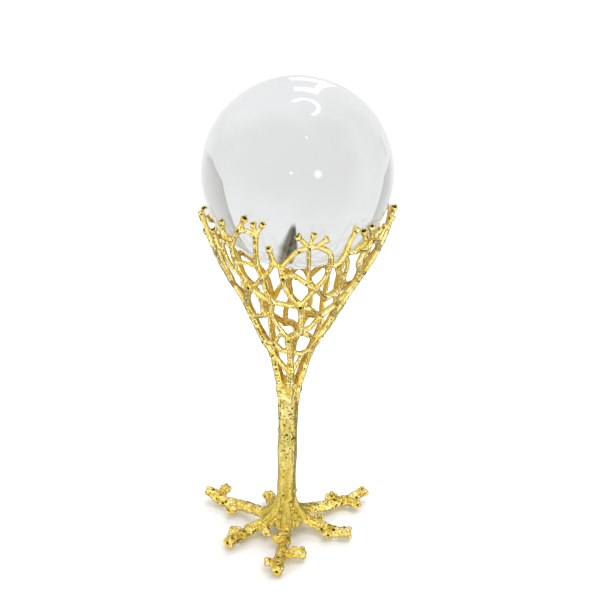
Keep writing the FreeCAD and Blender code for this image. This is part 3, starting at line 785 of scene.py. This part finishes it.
def gold(name, pale, warm, deep, roughness, bump, stretch=(1, 1, 1), painted_pit_marks=(0.64, 0.5), streaks=0.0,
         inner=0.0, foot=0.0):
    """Cast gold-coloured metal: cloudy colour, grain in the gloss and the relief, and near-black painted
    shade in its dents and in small dark dots.
    Faces that look inwards get a painted warm reflection and shade, as far as inner says; the metal turns
    darker and redder towards the floor, as far as foot says."""
    material, tree, shader = new_material(name)
    shader.inputs["Metallic"].default_value = 1.0
    fine = object_coordinates(tree, tuple(900 * s for s in stretch))
    broad = object_coordinates(tree, tuple(230 * s for s in stretch))
    cloud = noise_texture(tree, broad, Scale=1.0, Detail=3.0, Roughness=0.55)
    grain = noise_texture(tree, fine, Scale=1.0, Detail=3.0, Roughness=0.6)
    tint = ramp(tree, cloud, [(0.36, deep), (0.50, warm), (0.64, pale)])
    if streaks:
        drawn = object_coordinates(tree, (1500, 1500, 60))
        lines = noise_texture(tree, drawn, Scale=1.0, Detail=3.0, Roughness=0.6)
        lined = ramp(tree, lines, [(0.38, (streaks,) * 3), (0.48, (0, 0, 0))])
        tint = mixed(tree, lined, tint, tuple(0.62 * c for c in deep))
    # painted reflection and shade: the more a face looks in at the basket's axis, the more it takes the
    # deep orange
    if inner:
        inward = add_node(tree, "ShaderNodeAttribute", {"attribute_name": "inward"})
        painted_inner_reflection = smooth_step(tree, inward.outputs["Fac"], 0.05, 0.75)
        tint = mixed(tree, maths(tree, "MULTIPLY", painted_inner_reflection, inner), tint, PAINTED_INNER_REFLECTION_TINT)
    # darker and redder towards the floor: as much as foot says below 15 mm, not at all above 60 mm
    if foot:
        place = add_node(tree, "ShaderNodeSeparateXYZ")
        tree.links.new(object_coordinates(tree, (1, 1, 1)), place.inputs["Vector"])
        height = smooth_step(tree, place.outputs["Z"], 0.015, 0.060)
        lowness = maths(tree, "MULTIPLY", maths(tree, "SUBTRACT", 1.0, height), foot)
        tint = mixed(tree, lowness, tint, FOOT_TINT)
    # painted shade: dents and dark dots take the near-black tint
    painted_dent_shade = add_node(tree, "ShaderNodeAttribute", {"attribute_name": "painted_dent_shade"})
    cells = noise_texture(tree, fine, Scale=0.8, Detail=3.0, Roughness=0.7)
    patches = noise_texture(tree, broad, Scale=0.75, Detail=1.0, Roughness=0.5)
    level, depth = painted_pit_marks
    # painted shade: near-black dots in patches, as if in tiny dents that the mesh doesn't have
    painted_dark_dots = ramp(tree, cells, [(level, (0, 0, 0)), (level + 0.06, (depth,) * 3)])
    painted_dark_dots = maths(tree, "MULTIPLY", painted_dark_dots, smooth_step(tree, patches, 0.46, 0.58))
    if foot:
        painted_dark_dots = maths(tree, "MULTIPLY", painted_dark_dots, smooth_step(tree, place.outputs["Z"], 0.036, 0.060))
    painted_shade_amount = maths(tree, "MAXIMUM", maths(tree, "MULTIPLY", painted_dent_shade.outputs["Fac"], 0.97), painted_dark_dots)
    tint = mixed(tree, painted_shade_amount, tint, PAINTED_SHADE_TINT)
    tree.links.new(tint, shader.inputs["Base Color"])
    set_gloss(tree, shader, grain, *roughness)
    set_relief(tree, shader, grain, bump, 0.0004)
    return material


def crystal():
    """Clear polished glass with the faintest cloud in its tint."""
    material, tree, shader = new_material("crystal")
    shader.inputs["Transmission Weight"].default_value = 1.0
    shader.inputs["IOR"].default_value = 1.5
    broad = object_coordinates(tree, (18, 18, 18))
    cloud = noise_texture(tree, broad, Scale=1.0, Detail=2.0, Roughness=0.5)
    tint = ramp(tree, cloud, [(0.3, (0.765, 0.785, 0.78)), (0.7, (0.81, 0.825, 0.825))])
    tree.links.new(tint, shader.inputs["Base Color"])
    shader.inputs["Roughness"].default_value = 0.0
    return material


def plain_metal(name, colour, roughness, stretch):
    """Zinc-plated steel with fine turning marks."""
    material, tree, shader = new_material(name)
    shader.inputs["Metallic"].default_value = 1.0
    grain = noise_texture(tree, object_coordinates(tree, stretch), Scale=1.0, Detail=4.0, Roughness=0.6)
    tint = ramp(tree, grain, [(0.3, tuple(c * 0.8 for c in colour)), (0.7, colour)])
    tree.links.new(tint, shader.inputs["Base Color"])
    set_gloss(tree, shader, grain, *roughness)
    set_relief(tree, shader, grain, 0.3, 0.0001)
    return material


def clear_rubber(name, colour, roughness, transmission):
    """Soft clear rubber with a faint cloud."""
    material, tree, shader = new_material(name)
    shader.inputs["Transmission Weight"].default_value = transmission
    shader.inputs["IOR"].default_value = 1.42
    grain = noise_texture(tree, object_coordinates(tree, (700, 700, 700)), Scale=1.0, Detail=3.0)
    tint = ramp(tree, grain, [(0.3, tuple(c * 0.93 for c in colour)), (0.7, colour)])
    tree.links.new(tint, shader.inputs["Base Color"])
    set_gloss(tree, shader, grain, *roughness)
    return material


CORAL_GOLD = gold("coral_gold", (0.94, 0.81, 0.38), (0.87, 0.70, 0.21), (0.78, 0.56, 0.10),
                  (0.07, 0.18), 0.12, painted_pit_marks=(0.65, 0.9), inner=0.75)
COLLAR_GOLD = gold("collar_gold", (0.93, 0.82, 0.36), (0.84, 0.70, 0.21), (0.68, 0.50, 0.08),
                   (0.12, 0.28), 0.30, painted_pit_marks=(0.58, 0.9))
ROOT_GOLD = gold("root_gold", (0.94, 0.78, 0.30), (0.84, 0.63, 0.14), (0.68, 0.45, 0.05),
                 (0.07, 0.20), 0.15, painted_pit_marks=(0.63, 0.85))
BARK_GOLD = gold("bark_gold", (0.81, 0.70, 0.28), (0.71, 0.58, 0.17), (0.58, 0.44, 0.08),
                 (0.20, 0.36), 0.50, stretch=(1, 1, 0.55), painted_pit_marks=(0.58, 0.85), streaks=0.5, foot=0.6)
CRYSTAL = crystal()
STEEL = plain_metal("zinc_steel", (0.62, 0.63, 0.65), (0.25, 0.45), (2500, 2500, 600))
PAD_RUBBER = clear_rubber("pad_rubber", (0.80, 0.79, 0.74), (0.45, 0.6), 0.3)
BUMPER_RUBBER = clear_rubber("bumper_rubber", (0.93, 0.94, 0.94), (0.12, 0.2), 0.85)


def finish_piece(piece, body, material, slot, *nodes):
    """Gives a piece its material and ties it to the CAD nodes that it stands for. No gold shows through
    the ball."""
    piece.visible_transmission = False
    piece.data.materials.clear()
    piece.data.materials.append(material)
    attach(piece, body)
    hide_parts(*nodes)


# -------- the object

for spray in BRANCHES:
    finish_piece(coral_spray(spray), "stand", CORAL_GOLD, "coral_gold", spray)
for name in ROOTS:
    finish_piece(root_branch(name), "stand", ROOT_GOLD, "root_gold", name)

# Small healed knots on the stem: azimuth, height, how far they stand out.
KNOTS = [
    (-14, 25.5, 0.9), (-118, 47, 0.45), (160, 62, 0.6), (70, 38, 0.7), (-60, 73, 0.45), (100, 68, 0.5),
]


def stem_radius(z, angle):
    """The stem's swell, its knots, and the last few millimetres that slip under the collar's burl."""
    radius = along_table(STEM_RADII, z) - 0.1 - 0.8 * max(0.0, (z - 80.0) / 4.0)
    for azimuth, height, lift in KNOTS:
        away = (angle - math.radians(azimuth) + math.pi) % (2 * math.pi) - math.pi
        radius += lift * math.exp(-(away / 0.24) ** 2 - ((z - height) / 1.5) ** 2)
    return radius


def add_buds(clay, count, heights, sizes, trunk_radius, lift, width, depth):
    """Cupped buds at random places round the trunk, whose radius at a height trunk_radius gives."""
    for _ in range(count):
        azimuth = RANDOM.uniform(0, 360)
        z = RANDOM.uniform(*heights)
        out = outward(azimuth)
        size = RANDOM.uniform(*sizes)
        place = on_axis(trunk_radius(z), azimuth, z)
        clay.ball(place + out * lift, size)
        clay.cup(place + out * (lift + size * 0.8), out, size * width, size * depth)


def basket_collar():
    """The top of the trunk: the six stalks run together and die out down the stem as ridges."""
    clay = Clay()
    heights = [81.0, 82.5, 84.0, 86.0, 88.0, 91.0, 92.6]
    clay.tube([on_axis(0, 0, z) for z in heights], [3.2, 5.0, 5.4, 5.5, 5.6, 5.7, 3.0], sides=24)
    for stalk in ("f0", "l0", "r0", "s0", "b0", "k0"):
        azimuth, z = JUNCTIONS[stalk]
        drift = RANDOM.uniform(-14, 14)
        line = [
            POINTS[stalk] + CUP_AXIS * 1.5,
            on_axis(5.6, azimuth, 89.0),
            on_axis(5.1, azimuth + 0.6 * drift, 85.0),
            on_axis(4.75, azimuth + drift, 80.5),
            on_axis(4.4, azimuth + 1.3 * drift, 76.5),
        ]
        clay.branch(line, [2.1, 1.9, 1.5, 1.1, 0.8], lumps=0.25)
        bridge = [(5.6, 8, 90.0), (6.0, 30, 92.6), (6.2, 52, 91.0)]
        line = [on_axis(radius, azimuth + turn, height) for radius, turn, height in bridge]
        clay.branch(line, [1.2, 1.0, 0.9], lumps=0.2)
    add_buds(clay, 26, (79, 93), (0.55, 0.95), lambda z: 5.0 + 0.9 * max(0.0, (z - 84) / 9),
             lift=0.3, width=0.75, depth=0.8)
    return clay.object("collar_burl", COLLAR_VOXEL, coral_grain)


def root_flare():
    """The foot of the trunk: buttresses that run out into the six roots, with metal between them."""
    clay = Clay()
    azimuths = []
    for root in ROOTS.values():
        x, y, z, radius = root["trunk"][1]
        azimuth = math.degrees(math.atan2(y, x))
        azimuths.append(azimuth)
        line = [on_axis(4.0, azimuth, 21.5), on_axis(4.7, azimuth, 17.0), on_axis(7.0, azimuth, 12.0)]
        line.append(from_stem(x, y, z))
        clay.branch(line, [1.2, 2.2, 2.9, radius * 1.02], lumps=0.05)
    azimuths.sort()
    for one, two in zip(azimuths, azimuths[1:] + [azimuths[0] + 360]):
        middle = 0.5 * (one + two)
        clay.ball(on_axis(7.9, middle, 7.0), 2.5)
        clay.ball(on_axis(6.5, middle, 11.3), 2.2)
        clay.ball(on_axis(5.0, middle, 15.3), 1.5)
        if two - one > WIDE_GAP:
            clay.ball(on_axis(7.7, 0.7 * one + 0.3 * two, 8.0), 2.4)
            clay.ball(on_axis(7.7, 0.3 * one + 0.7 * two, 8.0), 2.4)
    add_buds(clay, 5, (12, 20), (0.5, 0.9), lambda z: 5.0 + 2.6 * max(0.0, (16 - z) / 7),
             lift=0.5, width=0.7, depth=0.7)
    return clay.object("root_flare", ROOT_VOXEL, flare_grain)


STEM = turned_bark("stem_bark", STEM_BOTTOM, STEM_TOP, stem_radius, STEM_ROWS)
finish_piece(STEM, "stand", BARK_GOLD, "bark_gold", "stem")
finish_piece(basket_collar(), "stand", COLLAR_GOLD, "bark_gold", "basket_collar")
finish_piece(root_flare(), "stand", BARK_GOLD, "bark_gold")


def glass_ball():
    """Finely divided true sphere."""
    unit, faces = unit_sphere(BALL_RINGS, BALL_SIDES)
    verts = []
    for x, y, z in unit:
        verts.append((x * BALL_RADIUS * MM, y * BALL_RADIUS * MM, (BALL_HEIGHT + BALL_RADIUS * z) * MM))
    body = mesh_object("glass_ball", verts, faces)
    body.data.shade_smooth()
    return body


ball = glass_ball()
finish_piece(ball, "ball", CRYSTAL, "crystal", "crystal_ball")
ball.visible_shadow = False
ball.visible_transmission = True

CARRIED_NODES = [
    ("root_hub", BARK_GOLD), ("tie_rod", STEEL), ("flat_washer", STEEL), ("spring_washer", STEEL),
    ("rod_nut", STEEL), ("foot_pads", PAD_RUBBER), ("seat_bumpers", BUMPER_RUBBER),
]
for node, material in CARRIED_NODES:
    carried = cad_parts[node]
    carried.visible_transmission = False
    carried.data.materials.clear()
    carried.data.materials.append(material)


# -------- studio

def stage_plane(name, corners, material):
    """A flat part of the stage, which isn't part of the object."""
    plane = mesh_object(name, corners, [tuple(range(len(corners)))])
    plane.data.materials.append(material)
    return plane


def floor_material():
    """Matt white, with painted shade round the object: a little greyer and cooler within a metre of it."""
    material, tree, shader = new_material("floor_with_painted_shade")
    cloud = noise_texture(tree, object_coordinates(tree, (3, 3, 3)), Scale=1.0, Detail=2.0)
    tint = ramp(tree, cloud, [(0.3, (0.815, 0.817, 0.832)), (0.7, (0.835, 0.836, 0.846))])
    distance = add_node(tree, "ShaderNodeVectorMath", {"operation": "LENGTH"})
    tree.links.new(object_coordinates(tree, (1, 1, 1)), distance.inputs[0])
    # painted shade: grey-blue close to the object, fading to white a metre away
    far = smooth_step(tree, distance.outputs["Value"], 0.25, 1.0)
    tint = mixed(tree, far, tint, (0.99, 0.99, 0.99))
    tree.links.new(tint, shader.inputs["Base Color"])
    shader.inputs["Roughness"].default_value = 0.9
    return material


SIDE = 12.0
FLOOR_CORNERS = [(-SIDE, -SIDE, 0), (SIDE, -SIDE, 0), (SIDE, SIDE, 0), (-SIDE, SIDE, 0)]
floor = stage_plane("floor", FLOOR_CORNERS, floor_material())
floor.visible_glossy = False
floor.visible_transmission = False


BALL_AT = Vector((0, 0, BALL_HEIGHT * MM))


def softbox(name, place, size, power):
    """A rectangular lamp that faces the ball and isn't seen itself."""
    light = bpy.data.lights.new(name, "AREA")
    light.shape = "RECTANGLE"
    light.size, light.size_y = size
    light.energy = power
    lamp = linked_object(name, light)
    lamp.location = place
    lamp.rotation_euler = (BALL_AT - lamp.location).to_track_quat("-Z", "Y").to_euler()
    lamp.visible_camera = False
    lamp.visible_glossy = False
    lamp.visible_transmission = False


softbox("key_above", (0.25, 0.15, 1.6), (0.9, 0.6), 9)
softbox("back_box", (0.15, 1.4, 1.15), (0.8, 0.35), 8)
softbox("front_left", (-1.3, -1.3, 0.9), (0.7, 1.0), 7)


# -------- the room

world = bpy.data.worlds.new("studio")
bpy.context.scene.world = world
world.use_nodes = True
world.cycles.sampling_method = "NONE"   # sampled as a light, the room loses its panels in the metal
sky = world.node_tree
back = sky.nodes["Background"]
back.inputs["Strength"].default_value = 1.0
where = add_node(sky, "ShaderNodeTexCoord").outputs["Generated"]
split = add_node(sky, "ShaderNodeSeparateXYZ")
sky.links.new(where, split.inputs["Vector"])
east, north, high = split.outputs["X"], split.outputs["Y"], split.outputs["Z"]

# Directions on the sky: where, how far it reaches; the lamps also have a brightness.
DARK_CARDS = [((0.90, 0.05, -0.43), 0.30), ((0.78, -0.60, 0.15), 0.16), ((-0.80, -0.58, 0.15), 0.14)]
LAMPS = [
    ((0.16, -0.45, 0.88), 0.035, 14.0), ((-0.13, -0.93, 0.35), 0.045, 12.0),
    ((0.41, -0.86, 0.31), 0.110, 11.0),
]


def chained(operation, values):
    """One math operation from the first value to the last."""
    result = values[0]
    for value in values[1:]:
        result = maths(sky, operation, result, value)
    return result


def product(*values):
    """All the values multiplied."""
    return chained("MULTIPLY", values)


def total(*values):
    """All the values added up."""
    return chained("ADD", values)


def minus(*values):
    """The first value less the others."""
    return chained("SUBTRACT", values)


def between(value, start, end, soft):
    """1 where a value lies between two limits, 0 outside, with soft edges."""
    rise = smooth_step(sky, value, start - soft, start + soft)
    fall = smooth_step(sky, value, end - soft, end + soft)
    return product(rise, minus(1.0, fall))


def patch(place, core, reach):
    """1 within core of a place on the sky, 0 beyond reach."""
    gap = add_node(sky, "ShaderNodeVectorMath", {"operation": "DISTANCE"})
    sky.links.new(where, gap.inputs[0])
    gap.inputs[1].default_value = place
    return minus(1.0, smooth_step(sky, gap.outputs["Value"], core, reach))


def room_for_metal():
    """White panels with dark gaps between them, a dimmer wall behind the object, and dark cards."""
    gaps = noise_texture(sky, where, Scale=3.1, Detail=2.5, Roughness=0.55, Distortion=0.5)
    panels = ramp(sky, gaps, [
        (0.39, (0.01, 0.01, 0.01)), (0.425, (0.30, 0.29, 0.27)), (0.46, (1.06, 1.06, 1.06)),
        (0.54, (1.28, 1.28, 1.28)), (0.61, (2.1, 2.1, 2.2)),
    ])
    backdrop = add_node(sky, "ShaderNodeVectorMath", {"operation": "DOT_PRODUCT"})
    sky.links.new(where, backdrop.inputs[0])
    backdrop.inputs[1].default_value = (0.0, 0.9, -0.42)
    dim = product(smooth_step(sky, backdrop.outputs["Value"], 0.10, 0.90), 0.72)
    panels = mixed(sky, dim, panels, (0.10, 0.08, 0.04))
    for place, reach in DARK_CARDS:
        shade = product(patch(place, 0.75 * reach, reach), 0.92)
        panels = mixed(sky, shade, panels, (0.03, 0.022, 0.01))
    return panels


def room_for_mirror():
    """A hooped window behind, a bent lamp above, and three small lamps."""
    window = product(between(east, -0.06, 0.22, 0.012), between(high, 0.17, 0.74, 0.02),
                     smooth_step(sky, north, 0.0, 0.1))
    pane = product(between(east, -0.30, 0.15, 0.012), between(high, 0.32, 0.62, 0.02))
    room = mixed(sky, product(window, pane), (1.0, 1.0, 1.0), (1.0, 0.93, 1.12))
    room = mixed(sky, product(window, minus(1.0, pane)), room, (4.5, 4.5, 4.5))
    across = minus(east, 0.08)
    ahead = minus(north, 0.25)
    away = maths(sky, "POWER", total(product(across, across), product(ahead, ahead)), 0.5)
    bent = product(between(away, 0.185, 0.245, 0.012),
                   smooth_step(sky, total(across, ahead), -0.05, -0.02), smooth_step(sky, high, 0.6, 0.7))
    room = mixed(sky, bent, room, (9.0, 9.0, 9.0))
    for place, reach, power in LAMPS:
        room = mixed(sky, patch(place, 0.1 * reach, reach), room, (power, power, power))
    return room


def dark_stand():
    """Mask and colour of the dark upright shape behind the ball."""
    lean = minus(east, product(high, 0.14), 0.020)
    width = maths(sky, "MINIMUM", total(product(high, 0.21), 0.016), 0.078)
    offset = maths(sky, "DIVIDE", lean, width)
    right_side = smooth_step(sky, offset, -1.15, -0.85)
    left_side = minus(1.0, smooth_step(sky, offset, 0.35, 1.35))
    tall = between(high, 0.01, 0.67, 0.04)
    streak = add_node(sky, "ShaderNodeTexNoise", {"noise_dimensions": "1D"}, Scale=30.0, Detail=2.0)
    sky.links.new(lean, streak.inputs["W"])
    colour = ramp(sky, streak.outputs["Fac"], [(0.35, (0.03, 0.026, 0.010)), (0.65, (0.17, 0.15, 0.085))])
    return product(right_side, left_side, tall, smooth_step(sky, north, 0.0, 0.2)), colour


def room_for_glass():
    """A pale room whose two ends are greyer, with the dark stand in it."""
    haze = noise_texture(sky, where, Scale=1.3, Detail=2.0, Roughness=0.5)
    room = ramp(sky, haze, [
        (0.38, (0.93, 0.92, 0.92)), (0.50, (0.98, 0.99, 0.98)), (0.60, (1.02, 1.02, 1.03)),
    ])
    low_bend = maths(sky, "MINIMUM", total(high, 0.21), 0.0)
    left_edge = total(east, product(high, 0.2), product(low_bend, 1.15))
    right_edge = total(minus(product(high, 0.24), east), low_bend)
    above_floor = smooth_step(sky, high, -0.345, -0.315)
    for edge, start in ((left_edge, 0.566), (right_edge, 0.735)):
        grey = ramp(sky, product(minus(edge, start), 2.5), [
            (0.0, (0.46, 0.46, 0.43)), (0.05, (0.62, 0.615, 0.59)), (0.45, (0.74, 0.735, 0.715)),
            (1.0, (0.82, 0.82, 0.81)),
        ])
        beyond = product(smooth_step(sky, edge, start - 0.006, start + 0.006), above_floor,
                         smooth_step(sky, north, 0.15, 0.5))
        room = mixed(sky, beyond, room, grey)
    stand, colour = dark_stand()
    return mixed(sky, stand, room, colour)


# White for the eye and for the floor; metal, mirror and glass each see a room of their own.
path = add_node(sky, "ShaderNodeLightPath")
polished = product(path.outputs["Is Glossy Ray"], path.outputs["Is Singular Ray"])
seen = mixed(sky, path.outputs["Is Glossy Ray"], (1, 1, 1), room_for_metal())
seen = mixed(sky, polished, seen, room_for_mirror())
seen = mixed(sky, path.outputs["Is Transmission Ray"], seen, room_for_glass())
sky.links.new(seen, back.inputs["Color"])


# -------- camera

# A long lens from the front, looking down by about 25 degrees, rolled by just over a degree.
CAMERA_AT = (0.000733, -1.091295, 0.654512)
CAMERA_DOWN = 25.113
CAMERA_ROLL = 1.35
CAMERA_LENS = 138.65
camera_data = bpy.data.cameras.new("camera")
camera_data.lens = CAMERA_LENS
camera_data.sensor_width = 36.0
camera_data.clip_end = 40
camera = linked_object("camera", camera_data)
tilt = Matrix.Rotation(math.radians(90 - CAMERA_DOWN), 4, "X")
roll = Matrix.Rotation(math.radians(CAMERA_ROLL), 4, "Z")
camera.matrix_world = Matrix.Translation(CAMERA_AT) @ tilt @ roll
bpy.context.scene.camera = camera
bpy.context.scene.view_settings.view_transform = "Standard"
